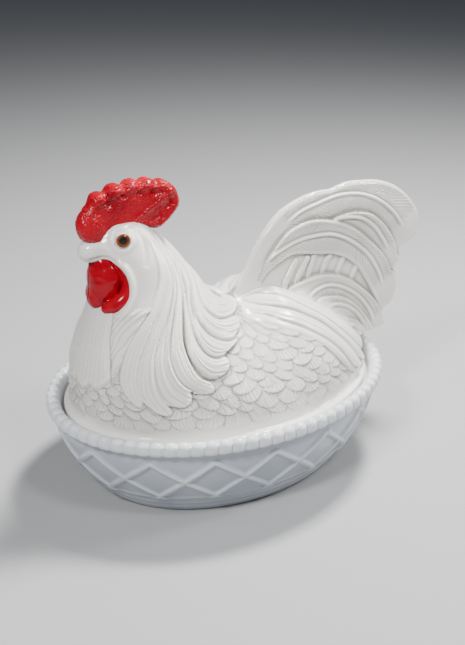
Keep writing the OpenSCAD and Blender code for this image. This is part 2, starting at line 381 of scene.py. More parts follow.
# The hollow under the beak that the wattles hang in, and the beak.
THROAT = ((-77, 0, 124.5), (23, 25, 14.5))
BEAK = [(-64, 0, 142, 7.5), (-71.5, 0, 140.5, 6.0), (-73.3, 0, 140, 5.0)]
EYE_AXIS = np.array([-0.207, 0.976, 0.070])
EYE_PLACE = np.array([-59.0, 12.8, 147.0])
SOCKET_RADIUS, SOCKET_DEPTH = 3.9, 3.2


def eye_socket(grid):
    """A round hole along the eye's axis."""
    offset = [g - c for g, c in zip((grid.x, grid.y, grid.z), EYE_PLACE)]
    depth = sum(o * a for o, a in zip(offset, EYE_AXIS))
    radial = np.sqrt(np.maximum(sum(o * o for o in offset) - depth ** 2, 0))
    return np.maximum(radial - SOCKET_RADIUS, -SOCKET_DEPTH - depth)


def carve_lid():
    """The lid's base form: the piece, and which of its points are outside its hollow, and on its tail."""
    grid = Grid((-94, 0, 38), (144, 74, 158), LID_STEP)
    throat = ball_field(grid, *THROAT)
    neck = smooth_cut(neck_field(grid), throat, 3.0)
    body = smooth_union(body_field(grid), neck, 7.0)
    tail = tail_field(grid)
    outside = smooth_union(body, tail, 5.0)
    outside = smooth_union(outside, chain_field(grid, BEAK, 2.0), 3.0)
    border = np.maximum(rim_tube(grid, BORDER_INSET), level_slab(grid, BORDER_LOW, BORDER_TOP))
    outside = smooth_union(outside, border, 3.0)
    outside = np.maximum(outside, BORDER_LOW - grid.z)
    skirt = np.maximum(rim_tube(grid, SKIRT_INSET), level_slab(grid, SKIRT_LOW, SKIRT_TOP))
    outside = np.minimum(outside, skirt)
    hollow = smooth_union(body_field(grid, GLASS_WALL), neck_field(grid, GLASS_WALL, NECK_HOLLOW_TOP), 7.0)
    hollow = smooth_cut(hollow, throat - GLASS_WALL, 3.0)
    mouth = np.maximum(rim_tube(grid, MOUTH_INSET), grid.z - SKIRT_TOP)
    hollow = smooth_union(hollow, mouth, 2.0)
    solid = smooth_cut(outside, hollow, 1.0)
    solid = smooth_cut(solid, eye_socket(grid), 0.6)
    lid = grid.mesh("rooster_glass", solid)
    subdivide(lid, 1)
    points = read_points(lid.data)
    on_tail = smooth_step(-1.5, 1.5, grid.sample(body, points) - grid.sample(tail, points))
    outer = smooth_step(1.2, 2.4, grid.sample(hollow, points)) * smooth_step(50.2, 52.5, points[:, 2])
    return lid, outer, on_tail


# ---------------------------------------------------------------- feathers


def snap(surface, points, side):
    """Drops the given points onto the surface: along Y from the flank, or along X from the front."""
    out = []
    for a, z in points:
        if side == "flank":
            start, way = Vector((a * MM, 0.2, z * MM)), Vector((0, -1, 0))
        else:
            start, way = Vector((-0.2, a * MM, z * MM)), Vector((1, 0, 0))
        hit = surface.ray_cast(start, way)[0]
        found = hit is not None and hit.y > -1e-4
        out.append([v / MM for v in hit] if found else [a, 0.0, z])
    return np.array(out)


class Net:
    """A sheet of flow lines on a surface: q counts across the lines, s runs from 0 to 1 along them."""

    def __init__(self, lines, across=10, along=12):
        rows = np.array([smooth_line(line, along) for line in lines])
        self.sheet = np.array([smooth_line(rows[:, k], across) for k in range(rows.shape[1])])
        self.sheet = self.sheet.transpose(1, 0, 2)
        self.lines = len(lines)
        nq, ns = self.sheet.shape[:2]
        self.q = np.linspace(0, self.lines - 1, nq)
        self.s = np.linspace(0, 1, ns)
        self.by_q = np.gradient(self.sheet, self.q, axis=0)
        self.by_s = np.gradient(self.sheet, self.s, axis=1)
        self.tree = mathutils.kdtree.KDTree(nq * ns)
        for k, place in enumerate(self.sheet.reshape(-1, 3)):
            self.tree.insert(place, k)
        self.tree.balance()

    def read(self, points, reach):
        """For each point near the sheet: q, s, the width of one band of q there, and the length along s."""
        low, high = self.sheet.min(axis=(0, 1)) - reach, self.sheet.max(axis=(0, 1)) + reach
        near = np.flatnonzero(np.all((points > low) & (points < high), axis=1))
        found = np.array([self.tree.find(p)[1:] for p in points[near]])
        index, gap = found[:, 0].astype(int), found[:, 1]
        near, index = near[gap < reach], index[gap < reach]
        at = points[near] - self.sheet.reshape(-1, 3)[index]
        tq, ts = self.by_q.reshape(-1, 3)[index], self.by_s.reshape(-1, 3)[index]
        qq, ss, qs = (tq * tq).sum(1), (ts * ts).sum(1), (tq * ts).sum(1)
        pq, ps = (at * tq).sum(1), (at * ts).sum(1)
        size = np.maximum(qq * ss - qs * qs, 1e-6)
        q = np.repeat(self.q, len(self.s))[index] + (pq * ss - ps * qs) / size
        s = np.tile(self.s, len(self.q))[index] + (ps * qq - pq * qs) / size
        width = np.sqrt(size / np.maximum(ss, 1e-6))
        return near, q, s, width, np.sqrt(ss)


def bump_line(distance, width):
    """A rounded ridge of height 1 round distance 0."""
    return np.exp(-((distance / width) ** 2))


def edge_valley(distance, width):
    """A sharp-sided valley of depth about 1 that starts at distance 0 and fades away."""
    d = np.maximum(distance, 0)
    return 1.6 * (1 - np.exp(-d / (0.25 * width))) * np.exp(-d / width)


class Relief:
    """Heights to be raised on a surface, the phase of the fine barbs drawn on it, and how deep they are."""

    def __init__(self, points):
        self.points = points.copy()
        self.points[:, 1] = np.abs(points[:, 1])
        count = len(points)
        self.height = np.zeros(count)
        self.phase = np.zeros(count)
        self.depth = np.zeros(count)

    def lay(self, index, height, mask, phase, depth):
        """Covers the points at index with new heights, where mask is 1."""
        self.height[index] = self.height[index] * (1 - mask) + height * mask
        over = mask > 0.5
        self.phase[index[over]] = phase[over]
        self.depth[index[over]] = np.broadcast_to(depth, mask.shape)[over]

    def ridge(self, line, height, width):
        """Adds a rounded ridge, or a crease where height is negative, that fades at the line's ends."""
        line = smooth_line(line, 8)
        low, high = line.min(axis=0) - 3 * width, line.max(axis=0) + 3 * width
        near = np.flatnonzero(np.all((self.points > low) & (self.points < high), axis=1))
        at = self.points[near][:, None, :] - line[None]
        gap = np.sqrt((at ** 2).sum(axis=2))
        nearest = gap.argmin(axis=1)
        along = nearest / (len(line) - 1)
        ends = np.sqrt(np.clip(4.2 * along * (1 - along), 0, 1))
        self.height[near] += height * bump_line(gap.min(axis=1), width) * ends


def hash_number(a, b, salt):
    """An even random number from 0 to 1 that is fixed for each pair of whole numbers."""
    mixed = np.sin(a * 127.1 + b * 311.7 + salt * 74.7) * 43758.5453
    return mixed - np.floor(mixed)


# Scale feathers over the body: how many go round half of it, the rows, the first row's tips, the step
# from one row to the next and the length of a feather, down the flank.
SCALES_ROUND, SCALE_ROWS = 21, 12
FIRST_TIPS, SCALE_ROW, SCALE_LENGTH = 15.5, 6.4, 12.0


def lay_scales(relief):
    """Soft rounded feathers in staggered rows, tips down and back, each with its own fan of barbs."""
    x, y, z = relief.points.T
    body = np.flatnonzero((z > 50) & (z < 112) & (x < 92))
    x, y, z = x[body], y[body], z[body]
    around = np.arctan2(y / BODY_SIDE, -x / BODY_BACK) / np.pi * SCALES_ROUND
    around = around + 0.16 * np.sin(0.31 * z + 1.3 * around)
    flank = 0.9 * (z - 50) + 0.0135 * (z - 50) ** 2 + 0.7 * np.sin(1.7 * around)
    height = np.zeros(len(body))
    phase = np.zeros(len(body))
    for row in range(SCALE_ROWS):
        top = FIRST_TIPS + SCALE_ROW * row
        down = (top - flank) / SCALE_LENGTH
        lean = around - 0.3 * np.clip(down, 0, 1.2)
        shift = 0.5 * (row % 2) + 0.13 * math.sin(2.3 * row)
        column = np.floor(lean - shift)
        across = (lean - shift - column - 0.5) * 2.0
        across = across + 0.24 * (hash_number(column, row, 4) - 0.5)
        size = 0.78 + 0.34 * hash_number(column, row, 1)
        tip = down / size
        round_tip = np.clip((tip - 0.4) / 0.6, 0, None)
        inside = 1 - np.sqrt(across ** 2 * 0.8 + round_tip ** 2)
        mask = smooth_step(-0.04, 0.2, inside) * smooth_step(-0.12, 0.1, down)
        tilt = 0.7 + 0.6 * hash_number(column, row, 2)
        lift = 0.15 + 0.85 * tilt * np.clip(tip, 0, 1) - 0.3 * across ** 2
        better = mask * lift > height
        fan = across / (0.3 + 0.7 * np.clip(tip, 0, 1.2))
        middle = 0.16 * bump_line(across, 0.12)
        comb = 0.17 * np.cos(2 * np.pi * 2.2 * fan + 6 * hash_number(column, row, 3))
        height = np.maximum(height, mask * (lift + (middle + comb) * smooth_step(0, 0.35, inside)))
        phase = np.where(better, 4.4 * fan, phase)
    fade = smooth_step(53.5, 58.5, z)
    relief.lay(body, height * fade, np.ones(len(body)), phase, 0.8 * fade)


# Flow lines of the neck's hackle on the flank, X and Z, from the cheek round to the back of the neck.
HACKLE = [
    [(-49, 151), (-44, 140), (-44, 127), (-50, 115), (-60, 104), (-68, 92), (-72, 80), (-70, 70)],
    [(-47, 151), (-42, 139), (-41, 125), (-47, 114), (-56, 102), (-63, 90), (-66, 78), (-63, 67)],
    [(-45, 151), (-39, 137), (-38, 123), (-45, 110), (-53, 99), (-58, 88), (-58, 75), (-50, 65)],
    [(-44, 151), (-37, 136), (-36, 122), (-42, 110), (-48, 98), (-50, 88), (-47, 79), (-38, 72)],
    [(-42, 150), (-34, 134), (-33, 121), (-37, 109), (-41, 98), (-41, 89), (-38, 81), (-29, 76)],
    [(-41, 150), (-32, 133), (-30, 120), (-34, 109), (-38, 98), (-38, 89), (-32, 81), (-22, 79)],
    [(-40, 150), (-30, 132), (-28, 120), (-31, 109), (-33, 100), (-31, 92), (-26, 88), (-17, 87)],
    [(-39, 150), (-28, 131), (-25, 120), (-28, 110), (-28, 103), (-23, 96), (-15, 92), (-5, 91)],
    [(-38, 150), (-25, 131), (-21, 120), (-22, 112), (-21, 106), (-16, 101), (-8, 98), (2, 96)],
    [(-39, 151), (-26, 133), (-18, 121), (-14, 113), (-10, 107), (-4, 102), (2, 99.5), (9, 98.5)],
]
# For each flow line: the ridge along it, and the valley in front of it or behind it.
HACKLE_EDGES = [
    (0.8, 0.0, -1), (0.2, 0.4, 1), (0.4, 0.9, 1), (1.1, 2.0, 1), (0.8, 1.5, 1),
    (0.7, 1.7, -1), (0.7, 1.8, -1), (0.9, 2.0, -1), (0.7, 1.6, -1), (0.3, 0.0, 1),
]
# How far each lock swells between its flow lines.
HACKLE_SWELL = [0.5, 0.4, 0.6, 0.8, 0.9, 1.3, 1.5, 1.5, 1.0]
HACKLE_THICK = 2.4


def lay_flow(relief, net, edges, swell, thick, strands, comb_depth):
    """Lays long overlapping locks along a net, combed into strands, with rounded free ends."""
    near, q, s, width, length = net.read(relief.points, 7.0)
    last = net.lines - 1
    height = thick[0] + (thick[1] - thick[0]) * smooth_step(0.0, 1.0, s)
    grown = smooth_step(0.0, 0.4, s)
    for k, (ridge, valley, side) in enumerate(edges):
        away = (q - k) * width
        height = height + grown * ridge * bump_line(away, 0.8)
        height = height - grown * valley * edge_valley(side * away, 2.0)
    band = np.clip(np.floor(q), 0, last - 1).astype(int)
    lock = np.clip(q - band, 0, 1)
    room = smooth_step(1.2, 5.0, width)
    height = height + room * np.array(swell)[band] * (1 - (2 * lock - 1) ** 2)
    turns = strands * lock + 0.35 * np.sin(2.1 * band + 5 * s)
    fine = np.abs(np.sin(np.pi * turns))
    depth = comb_depth * (0.45 + 0.9 * hash_number(np.floor(turns), band, 5))
    room = smooth_step(0.7, 1.7, width / strands)
    height = height - depth * (1 - fine) ** 1.5 * room * smooth_step(-0.1, 0.6, s)
    round_end = 1 - 0.06 * (2 * lock - 1) ** 2 - 0.02 * np.sin(3.7 * band)
    out = np.minimum((round_end - s) * length, np.minimum(q, last - q) * width + 0.3)
    mask = smooth_step(-0.3, 0.6, out) * smooth_step(0.0, 0.08, s)
    height = height * (0.55 + 0.45 * smooth_step(0, 2.2, out))
    relief.lay(near, height, mask, 0.75 * q * width.mean(), 0.7 * smooth_step(0.1, 0.7, s))


# Flow lines of the saddle, X and Z, from the tail's root down to the flank.
SADDLE = [
    [(-2, 98), (9, 98), (20, 103), (30, 103), (40, 98.5), (49, 94), (60, 86), (71, 77), (80, 67),
     (86, 57)],
    [(-4, 96), (7, 96.5), (18, 99.5), (29, 99.5), (39, 94.5), (48, 88.5), (57, 81), (66, 72), (75, 62),
     (82, 53)],
    [(6, 96), (11, 96.5), (18, 97), (27, 96.5), (38, 91.5), (47, 85.5), (55, 78), (62, 70.5), (69, 61),
     (76, 52)],
    [(3, 94), (8, 94.5), (15, 94.5), (23, 92.5), (33, 88), (41, 82.5), (48, 76.5), (54, 69.5), (59, 62),
     (65, 55)],
    [(9, 91.5), (13, 91.5), (18, 90.5), (23, 89), (31, 85), (37, 81), (43, 75), (48, 69), (53, 63),
     (58, 58)],
]
SADDLE_EDGES = [(0.5, 0.0, 1), (0.7, 1.4, 1), (0.8, 1.8, 1), (0.6, 1.3, 1), (0.4, 0.0, 1)]
SADDLE_SWELL = [1.2, 1.1, 0.9, 0.6]

# Flow lines of the breast, Y and Z, seen from the front, from its middle out to the fold.
BREAST = [
    [(0, 112), (0, 103), (0, 94), (0, 85), (0, 76), (0, 67.5)],
    [(6, 112), (6, 103), (7, 94), (8, 85), (9, 76), (8, 68)],
    [(11, 112), (11.5, 103), (13, 94), (15, 86), (17, 78), (17, 70.5)],
    [(16, 112), (17, 105), (19, 97), (22, 90), (25, 82), (26, 76)],
]


def lay_breast(relief, surface):
    """The combed breast lobe down to its scalloped lower edge, and the slanted locks beside it."""
    fold = snap(surface, BREAST[-1], "front")
    edge = snap(surface, HACKLE[0][3:7], "flank")
    side = [smooth_line(fold, 4), smooth_line(edge, 5)]
    side = [line[np.linspace(0, len(line) - 1, 8).astype(int)] for line in side]
    middle = (side[0] + side[1]) / 2
    net = Net([side[0], middle, side[1]])
    near, q, s, width, length = net.read(relief.points, 6.0)
    slant = s * length + 1.5 * q * width + 1.2 * np.sin(2 * q)
    combed = np.abs(np.sin(np.pi * slant / 5.2))
    mask = smooth_step(-0.3, 0.5, np.minimum(q, 2 - q) * width) * smooth_step(0.0, 0.12, s)
    mask = mask * smooth_step(1.02, 0.94, s)
    relief.lay(near, 1.0 - 0.75 * (1 - combed) ** 1.5, mask, 0.7 * slant, 0.4)
    net = Net([snap(surface, line, "front") for line in BREAST])
    near, q, s, width, length = net.read(relief.points, 6.0)
    scallop = 1.0 - 0.09 * (1 - np.abs(np.sin(np.pi * q / 1.5)))
    below, beside = (scallop - s) * length, (3 - q) * width
    turns = 2.1 * q + 0.35 * np.sin(4 * s + 2.3 * q)
    combed = np.abs(np.sin(np.pi * turns))
    depth = 0.08 + 0.2 * hash_number(np.floor(turns), 0, 6)
    height = 0.5 + 1.4 * smooth_step(0.2, 1.0, s) - depth * smooth_step(0, 0.3, s) * (1 - combed) ** 1.6
    height = height * (0.3 + 0.7 * smooth_step(0, 4, below)) * (0.8 + 0.2 * smooth_step(0, 2, beside))
    relief.lay(near, height, smooth_step(-0.4, 0.8, np.minimum(below, beside)), 5 * q, 0.6)
    relief.ridge(fold, -0.7, 1.8)


# Lines of the tail in the X-Z plane. Each feather's upper edge, then the shafts.
TAIL_EDGES = [
    [(60, 126), (70, 132), (80, 135), (90, 134.5), (99, 131.5), (108, 124), (116, 113), (119, 104),
     (124, 98)],
    [(24, 108), (32, 121), (42, 131), (54, 135), (64, 134.5), (74, 131.5), (87, 125), (101, 113),
     (110, 103),
     (116, 93), (121, 91)],
    [(22, 99), (30, 110), (38, 115), (47, 117), (61, 114), (73, 111.5), (84, 106), (92, 98), (100, 85.5),
     (106, 74), (109, 66)],
    [(30, 95), (36, 98), (42, 100.5), (52, 102), (66, 101.5), (79, 97.5), (91, 89.5), (102, 79),
     (109, 68),
     (112, 60), (112, 56)],
    [(46, 86), (56, 90), (70, 88), (81, 83.5), (91, 75), (100, 63), (104, 56), (106, 50)],
    [(74, 76), (80, 72.5), (88, 68), (95, 60), (99, 54)],
]
# How far each feather stands out from the one before it. The one that is below zero is a sunk panel.
TAIL_STEPS = [1.7, 2.0, -1.3, 2.0, 1.7, 1.3]
PANEL_LEVEL = 3
TAIL_SHAFTS = [
    [(40, 134), (50, 140), (61, 143), (76, 145.5), (88, 145), (99, 141.5), (108, 136), (117, 128),
     (124, 118)],
    [(74, 132.5), (83, 132.5), (92, 130), (101, 123.5), (108, 114.5), (113, 106)],
    [(16, 100), (22, 110), (32, 119), (46, 124.5), (59, 125.5), (72, 124), (85, 117.5), (97, 107.5),
     (105, 96), (110, 84)],
    None,
    [(48, 92), (58, 94.5), (68, 94.5), (80, 90), (91, 82), (99, 72), (104, 62)],
    [(62, 84), (72, 82.5), (82, 78), (90, 71), (96, 62)],
    [(76, 70), (84, 67), (91, 61)],
]
PANEL_SHAFTS = [
    [(36, 98), (41, 105), (47, 113)],
    [(44, 99), (50, 107), (55, 113)],
    [(54, 101), (57, 108), (60, 114)],
    [(65, 101), (67, 107), (71, 112)],
    [(76, 98), (78, 104), (81, 109)],
    [(86, 92), (88, 97), (90, 101)],
]


def plane_line(line, x, z):
    """By a smooth line in the X-Z plane: how far to its right and along it a point is, and its length."""
    line = smooth_line(line, 8)
    best = np.full(x.shape, 1e9)
    side = np.zeros(x.shape)
    along = np.zeros(x.shape)
    travelled = 0.0
    for (ax, az), (bx, bz) in zip(line, line[1:]):
        dx, dz = bx - ax, bz - az
        run = math.hypot(dx, dz)
        t = ((x - ax) * dx + (z - az) * dz) / run ** 2
        held = np.clip(t, 0, 1)
        gap = np.hypot(x - ax - held * dx, z - az - held * dz)
        nearer = gap < best
        best = np.where(nearer, gap, best)
        side = np.where(nearer, ((x - ax) * dz - (z - az) * dx) / run, side)
        along = np.where(nearer, travelled + held * run, along)
        travelled += run
    return np.where(side > 0, best, -best), along, travelled


def lay_tail(relief, on_tail):
    """The tail's stacked sickle feathers, with raised shafts, slanted barbs and a sunk panel."""
    index = np.flatnonzero(on_tail > 0.01)
    x, z = relief.points[index, 0], relief.points[index, 2]
    height = np.zeros(len(index))
    level = np.zeros(len(index), int)
    for k, (edge, step) in enumerate(zip(TAIL_EDGES, TAIL_STEPS)):
        below, along, whole = plane_line(edge, x, z)
        start = smooth_step(0, 14, along)
        if step > 0:
            fall = step * (0.15 + 0.85 * np.exp(-np.maximum(below, 0) / 11))
            height -= 1.0 * start * edge_valley(-below, 1.7)
            height += start * smooth_step(-0.25, 0.6, below) * (fall - height)
            height += 0.4 * start * bump_line(below - 1.1, 0.9)
        else:
            height += start * smooth_step(-0.6, 0.4, below) * (step - height)
            height += 0.35 * start * bump_line(below + 1.2, 1.0)
        level = np.where(below > 0, k + 1, level)
    phase = np.zeros(len(index))
    depth = np.zeros(len(index))
    for k, shaft in enumerate(TAIL_SHAFTS):
        if shaft is None:
            continue
        below, along, whole = plane_line(shaft, x, z)
        here = level == k
        fade = smooth_step(0, 10, along) * smooth_step(whole, whole - 8, along)
        line = 0.9 * bump_line(below, 0.65) - 0.6 * bump_line(np.abs(below) - 1.5, 0.7)
        height += np.where(here, fade * line, 0)
        slant = along - 1.1 * np.abs(below) + 0.5 * np.sin(0.35 * along)
        phase = np.where(here, slant, phase)
        reach = smooth_step(whole + 0.5, whole - 7, along) * smooth_step(-1, 6, along)
        depth = np.where(here, smooth_step(0.4, 1.6, np.abs(below)) * reach, depth)
        barb = np.abs(np.sin(np.pi * slant / 2.3))
        coarse = smooth_step(0.5, 2.5, np.abs(below)) * reach * (0.55 if k == 2 else 0.4)
        height -= np.where(here, coarse * (1 - barb) ** 1.4, 0)
    for shaft in PANEL_SHAFTS:
        below, along, whole = plane_line(shaft, x, z)
        band = smooth_step(1.6, 0.9, np.abs(below)) + 0.5 * bump_line(np.abs(below) - 1.0, 0.5)
        height += np.where(level == PANEL_LEVEL, 1.1 * band, 0)
    depth = np.where(level == PANEL_LEVEL, 0.25, depth)
    inside = outline_distance(smooth_line(TAIL_OUTLINE, 4, closed=True), x, z)
    height = height * smooth_step(0.5, 3.0, inside)
    relief.lay(index, height, on_tail[index], phase * 0.87, depth)


# Creases and ridges of the head on the flank, X and Z: line, height and width.
HEAD_LINES = [
    ([(-63.5, 137), (-59.8, 134), (-58, 129), (-57.7, 124), (-59, 118.5), (-62.5, 113.5),
      (-67, 109)], 1.9, 1.6),
    ([(-50, 150), (-48, 145), (-48, 139), (-50, 133)], -0.9, 1.3),
    ([(-78, 138), (-72, 137.5), (-66, 138), (-62, 135.5)], -0.9, 1.0),
    ([(-74, 144), (-68, 143.5), (-63, 141)], 0.5, 1.5),
    ([(-67, 148.5), (-60, 151.5), (-53, 152)], 0.5, 1.5),
]


def lay_head(relief, surface):
    """The eye's rim, the brow, the crease behind the eye, the mouth and the jaw's edge."""
    for line, height, width in HEAD_LINES:
        relief.ridge(snap(surface, line, "flank"), height, width)
    offset = relief.points - EYE_PLACE
    depth = offset @ EYE_AXIS
    radial = np.sqrt(np.maximum((offset ** 2).sum(axis=1) - depth ** 2, 0))
    rim = bump_line(radial - 5.1, 0.9) * (np.abs(depth) < 6)
    relief.height += 0.35 * rim - 0.12 * bump_line(radial - 7.4, 1.1) * (np.abs(depth) < 6)


def make_lid():
    """The lid with all its feathers."""
    lid, outer, on_tail = carve_lid()
    points, normals = read_points(lid.data), read_normals(lid.data)
    surface = mathutils.bvhtree.BVHTree.FromObject(lid, bpy.context.evaluated_depsgraph_get())
    relief = Relief(points)
    lay_scales(relief)
    lay_breast(relief, surface)
    saddle = Net([snap(surface, line, "flank") for line in SADDLE])
    lay_flow(relief, saddle, SADDLE_EDGES, SADDLE_SWELL, (0.6, 2.2), 4, 0.4)
    hackle = Net([snap(surface, line, "flank") for line in HACKLE])
    lay_flow(relief, hackle, HACKLE_EDGES, HACKLE_SWELL, (0.4, HACKLE_THICK), 4, 0.5)
    lay_head(relief, surface)
    lay_tail(relief, on_tail * smooth_step(0.25, 0.8, np.abs(normals[:, 1])))
    height = relief.height * outer
    write_points(lid.data, points + normals * height[:, None])
    add_attribute(lid.data, "barb", relief.phase)
    add_attribute(lid.data, "barb_depth", relief.depth * outer)
    # How far each point stands above its neighbours: the glass's colour turns this into painted shade in
    # grooves and painted light on crests.
    add_attribute(lid.data, "raised", height - spread_over(lid.data, height, 14))
    return lid


# ---------------------------------------------------------------- comb and wattles

# Half the thickness of the comb's slab, and of its lobes.
COMB_HALF, COMB_LOBE_HALF = 4.7, 6.2
COMB_OUTLINE = [
    (-77, 149), (-78, 156), (-74.8, 161.8), (-71.8, 165.4), (-69, 168.8), (-65.8, 169.9), (-62.8, 169.3),
    (-59.6, 172), (-56, 172.6), (-53.6, 171.8), (-50, 173.5), (-46.5, 173.5), (-44.2, 172),
    (-40.5, 173.2),
    (-37.3, 172.6), (-35.5, 171.3), (-31.5, 171.4), (-26.8, 168.6), (-23, 163.8), (-21.8, 157.8),
    (-25.3, 152.3),
    (-31, 147.6), (-36, 145.8), (-42.5, 147.6), (-49.5, 148.5), (-57.5, 146), (-63.5, 143), (-68.5, 143),
    (-74, 145.5),
]
COMB_LOBES = [(-66.5, 165.5, 5), (-58, 168.3, 5.6), (-48.4, 169.2, 5.6), (-40.2, 169, 5.3),
              (-31, 164.5, 7.6)]
COMB_FRONT = ((-71, 0, 152.5), (7, 6.4, 7.5))
COMB_CREASES = [
    [(-72, 166), (-69, 161), (-68.5, 156)],
    [(-63, 172), (-62, 166), (-62.5, 160)],
    [(-53.8, 175), (-53.3, 169), (-54.5, 163)],
    [(-44.3, 175), (-44.3, 169), (-46, 163)],
    [(-35.8, 174.5), (-37, 168), (-40, 162)],
]
COMB_RIDGES = [
    ([(-49.5, 152), (-42.5, 156.5), (-35.5, 161), (-28.5, 166.5)], 1.1, 1.4),
    ([(-41.5, 150.5), (-34.5, 154.5), (-27.5, 160)], -0.8, 1.3),
]
WATTLE = [(-65.5, 0.8, 133, 6.5), (-63.6, 0.8, 126.5, 9.9), (-64.8, 0.8, 119, 9.0),
          (-69.8, 0.8, 113.7, 5.4)]
WATTLE_FOLD = [(-60, 9.5, 134.5, 2.2), (-57.6, 13.4, 129, 3.2), (-58, 14.8, 122.3, 3.9),
               (-60.6, 15.2, 117.4, 4.2),
               (-65.6, 14.2, 114.2, 3.9), (-69.5, 10.5, 112, 2.8)]
WATTLE_GAP = 0.08


def pebble(points, size):
    """Small round bumps with sharp valleys between them, from 0 to 1."""
    return np.array([1 - min(mathutils.noise.voronoi(p / size)[0][0], 1.0) for p in points])


def make_comb():
    """The fleshy comb: a lobed slab with a rounded border, creases between its lobes and a pebbled skin."""
    grid = Grid((-82, 0, 139), (-18, 9, 178), ENAMEL_STEP)
    outline = smooth_line(COMB_OUTLINE, 5, closed=True)
    x, z = grid.x[:, :, 0], grid.z[:, 0, :]
    inside = outline_distance(outline, x, z)[:, None, :]
    half = COMB_HALF + 0.7 * bump_line(inside - 3.0, 1.6)
    edge = np.clip(1 - inside / 3.6, 0, 1)
    slab = np.maximum(grid.true_distance(grid.y - half * np.sqrt(np.maximum(1 - edge * edge, 0))), -inside)
    for cx, cz, r in COMB_LOBES:
        ball = ball_field(grid, (cx, 0, cz), (r, COMB_LOBE_HALF, r))
        slab = smooth_union(slab, np.maximum(ball, -inside), 1.5)
    front = ball_field(grid, *COMB_FRONT)
    slab = smooth_union(slab, np.maximum(front, -inside), 3.0)
    comb = grid.mesh("comb_enamel", slab)
    subdivide(comb, 1)
    points, normals = read_points(comb.data), read_normals(comb.data)
    relief = Relief(points)
    x, z = points[:, 0], points[:, 2]
    for line in COMB_CREASES:
        below, along, whole = plane_line(line, x, z)
        relief.height -= 0.7 * bump_line(below, 1.5) * smooth_step(whole + 0.5, whole - 4, along)
    for line, rise, width in COMB_RIDGES:
        below, along, whole = plane_line(line, x, z)
        relief.height += rise * bump_line(below, width) * smooth_step(0, 3, along)
    inside = outline_distance(outline, x, z)
    relief.height -= 0.9 * bump_line(inside - 5.5, 1.5) * smooth_step(157, 163, z)
    skin = 0.45 * pebble(points, 1.3)
    height = relief.height * np.abs(normals[:, 1]) + skin - 0.5
    write_points(comb.data, points + normals * height[:, None])
    return comb


def make_wattle(name, side):
    """One smooth wattle: a hanging lobe with a crescent fold behind it."""
    grid = Grid((-81, 0, 103), (-48, 22, 143), ENAMEL_STEP, -2)
    lobe = chain_field(grid, WATTLE, 3.0)
    fold = chain_field(grid, smooth_line(WATTLE_FOLD, 3), 1.0)
    field = np.maximum(smooth_union(lobe, fold, 1.2), WATTLE_GAP - grid.y)
    wattle = grid.mesh(name, field, side)
    subdivide(wattle, 1)
    points, normals = read_points(wattle.data), read_normals(wattle.data)
    soft = np.array([mathutils.noise.noise(p / 4.0) for p in points * [1, side, 1]])
    write_points(wattle.data, points + normals * (0.22 * soft)[:, None])
    return wattle


# ---------------------------------------------------------------- eyes

# Each eye piece is turned from a profile of radius and height along the eye's axis.
CEMENT_PROFILE = [(0, -3.1), (3.2, -3.1), (3.75, -2.4), (3.8, -0.4), (3.72, -0.1), (3.55, -0.15),
                  (3.45, -0.95), (0, -0.98)]
IRIS_PROFILE = [(1.55, -0.95), (3.4, -0.95), (3.42, -0.35), (3.2, -0.22), (2.6, -0.38), (2.12, -0.5),
                (1.6, -0.9)]
PUPIL_PROFILE = [(0, -0.95), (1.6, -0.95), (2.1, -0.5), (1.9, -0.24), (1.0, -0.2), (0, -0.2)]
DOME_BASE, DOME_TOP, DOME_RADIUS = -0.16, 2.1, 3.45
TURN_STEPS = 64


def dome_profile():
    """The clear dome: a flat back and a rounded front."""
    out = [(0, DOME_BASE), (3.0, DOME_BASE)]
    for k in range(13):
        angle = math.radians(90 * k / 12)
        out.append((DOME_RADIUS * math.cos(angle), 0.1 + (DOME_TOP - 0.1) * math.sin(angle)))
    return out


def turn(name, profile, side):
    """A solid turned about the eye's axis, on the given side of the head."""
    axis = Vector((EYE_AXIS[0], side * EYE_AXIS[1], EYE_AXIS[2])).normalized()
    place = Vector((EYE_PLACE[0], side * EYE_PLACE[1], EYE_PLACE[2]))
    frame_of_eye = axis.to_track_quat("Z", "Y").to_matrix()
    solid = bmesh.new()
    rings = []
    ring_shape = profile + profile[:1] if profile[0][0] > 0 else profile
    for radius, height in ring_shape:
        if radius == 0:
            rings.append([solid.verts.new(place + frame_of_eye @ Vector((0, 0, height)))])
            continue
        ring = []
        for k in range(TURN_STEPS):
            angle = 2 * math.pi * k / TURN_STEPS
            local = Vector((radius * math.cos(angle), radius * math.sin(angle), height))
            ring.append(solid.verts.new(place + frame_of_eye @ local))
        rings.append(ring)
    for low, high in zip(rings, rings[1:]):
        for k in range(TURN_STEPS):
            corners = {low[k % len(low)]: 0, low[(k + 1) % len(low)]: 0,
                       high[(k + 1) % len(high)]: 0, high[k % len(high)]: 0}
            solid.faces.new(list(corners))
    bmesh.ops.remove_doubles(solid, verts=solid.verts, dist=1e-5)
    bmesh.ops.recalc_face_normals(solid, faces=solid.faces)
    bmesh.ops.scale(solid, vec=(MM, MM, MM), verts=solid.verts)
    mesh = bpy.data.meshes.new(name)
    solid.to_mesh(mesh)
    solid.free()
    mesh.shade_smooth()
    obj = bpy.data.objects.new(name, mesh)
    bpy.context.scene.collection.objects.link(obj)
    return obj


# ---------------------------------------------------------------- the dish

COLUMNS_PER_BEAD = 12
BEAD_DEPTH = 2.5
WALL_TOP = 46.5
LATTICE_TOP, LATTICE_LOW = 41.0, 15.0
LATTICE_TURN = 0.82
RIB_HEIGHT, RIB_WIDTH = 1.5, 3.3
FOOT_RINGS = [(13.6, 0.65, 0.9), (8.2, 0.5, 0.8), (4.2, 0.5, 0.8)]
FOOT_ROUND = 0.8
FLOOR_TOP = 6.5

